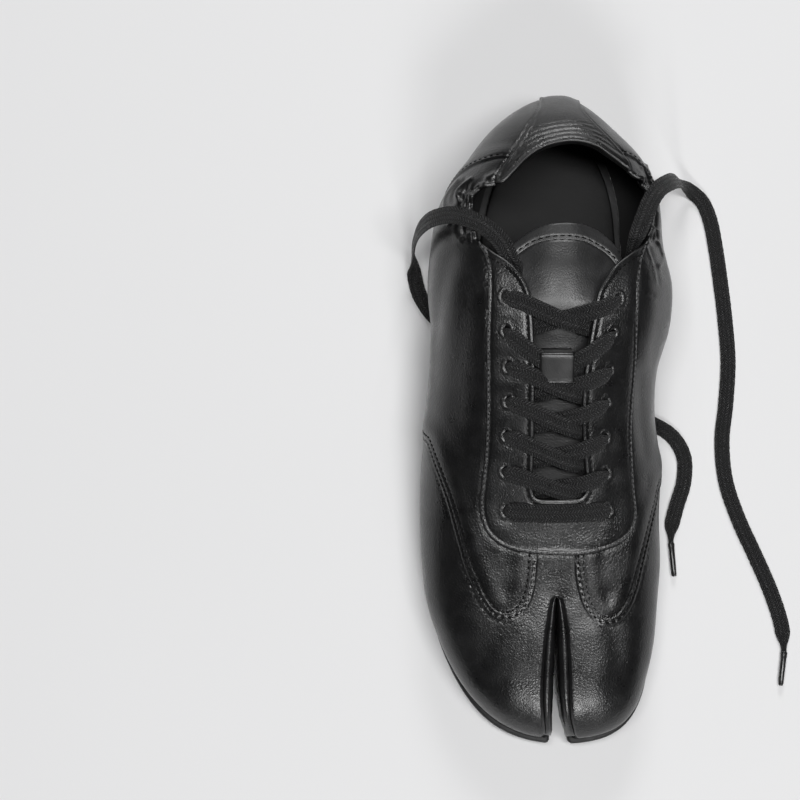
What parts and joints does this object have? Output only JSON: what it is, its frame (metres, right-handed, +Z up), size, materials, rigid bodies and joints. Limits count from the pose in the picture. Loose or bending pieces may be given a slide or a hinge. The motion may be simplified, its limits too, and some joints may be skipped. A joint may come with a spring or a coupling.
{
  "type": "driving shoe",
  "caption": "Low lace-up driving shoe for the right foot: soft leather upper with a slit between the toes, gathered collar, flat laces and a thin rubber sole.",
  "frame": {"origin": "on the floor under the middle of the shoe, measured without the free lace ends", "axes": "+Y to the toes, +X to the outer (lateral) side of the foot, +Z up"},
  "size_m": [0.1693, 0.2854, 0.0773],
  "materials": {
    "upper_leather": "smooth, soft, slightly grained, satin",
    "lining": "matt",
    "sole_rubber": "matt",
    "lace_cotton": "flat braid",
    "aglet_film": "gloss"
  },
  "bodies": {
    "root": {"outsole": "sole_rubber", "insole": "lining", "upper": "upper_leather", "toe_gusset": "upper_leather", "eyestay": "upper_leather", "heel_strip": "upper_leather", "counter_lateral": "upper_leather", "counter_medial": "upper_leather", "collar_lateral": "upper_leather", "collar_medial": "upper_leather", "tongue": "upper_leather", "tongue_keeper": "upper_leather", "lace_bar": "lace_cotton", "lace_cross_1": "lace_cotton", "lace_cross_2": "lace_cotton", "lace_cross_3": "lace_cotton", "lace_cross_4": "lace_cotton", "lace_cross_5": "lace_cotton", "lace_cross_6": "lace_cotton", "lace_end_lateral": "lace_cotton", "lace_end_medial": "lace_cotton", "aglet_lateral": "aglet_film", "aglet_medial": "aglet_film"}
  },
  "joints": []
}
